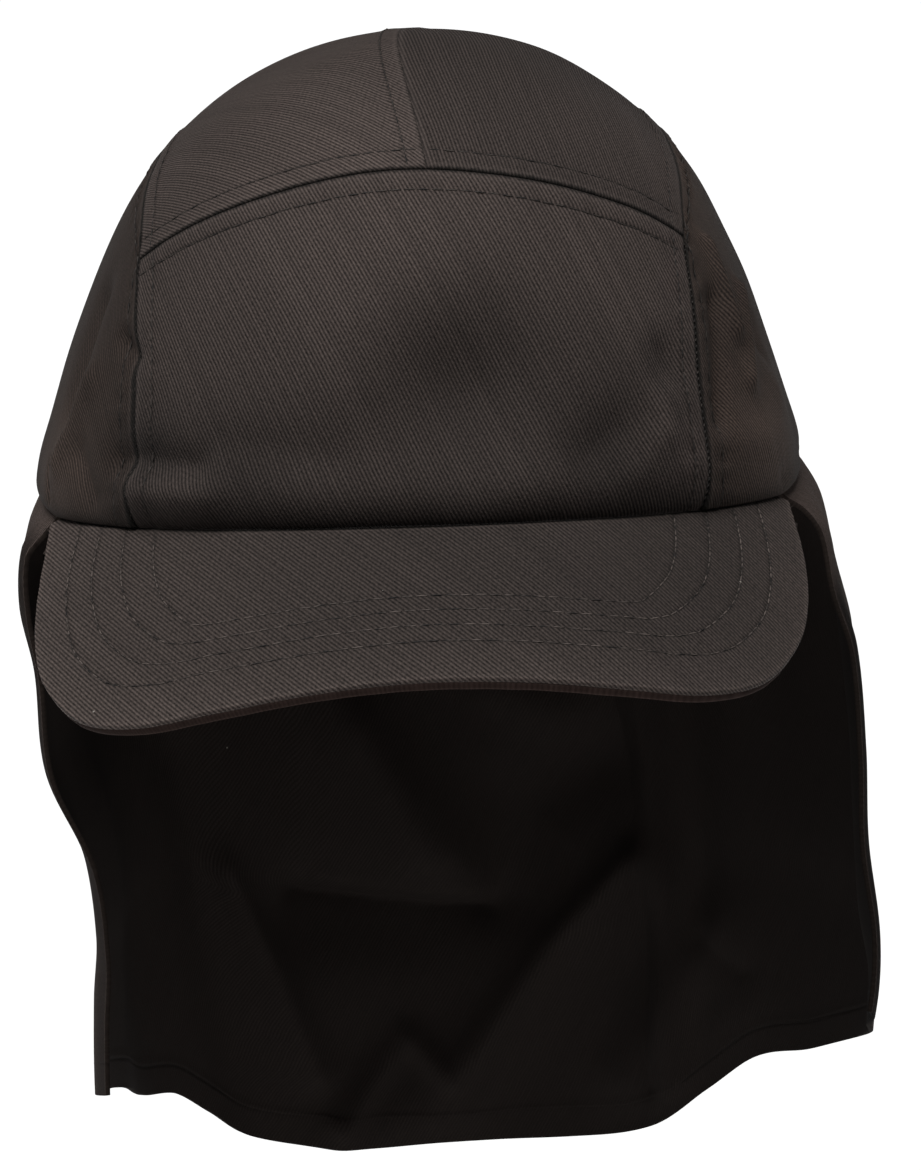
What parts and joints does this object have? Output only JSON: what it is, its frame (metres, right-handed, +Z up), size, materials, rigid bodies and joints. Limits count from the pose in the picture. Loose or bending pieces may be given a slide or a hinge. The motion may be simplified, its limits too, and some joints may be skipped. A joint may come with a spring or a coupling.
{
  "type": "legionnaire cap",
  "caption": "Cotton twill cap with a sewn panel crown, a curved peak and a long neck flap hanging open at the front.",
  "frame": {"origin": "middle of the head opening, in the plane of the crown's rim at the ears and the back", "axes": "+Z up through the top of the crown, -Y forwards out over the peak, +X to the wearer's left"},
  "size_m": [0.2066, 0.2601, 0.3115],
  "materials": {
    "crown_twill": "matt cotton twill, dark charcoal brown",
    "peak_twill": "matt cotton twill over a stiff board",
    "flap_twill": "matt light cotton twill, the reverse side darker"
  },
  "bodies": {
    "root": {"front_panel": "crown_twill", "top_panel_left": "crown_twill", "top_panel_right": "crown_twill", "side_panel_left": "crown_twill", "side_panel_right": "crown_twill", "peak_board": "peak_twill", "peak_underside": "peak_twill", "neck_flap": "flap_twill"}
  },
  "joints": []
}
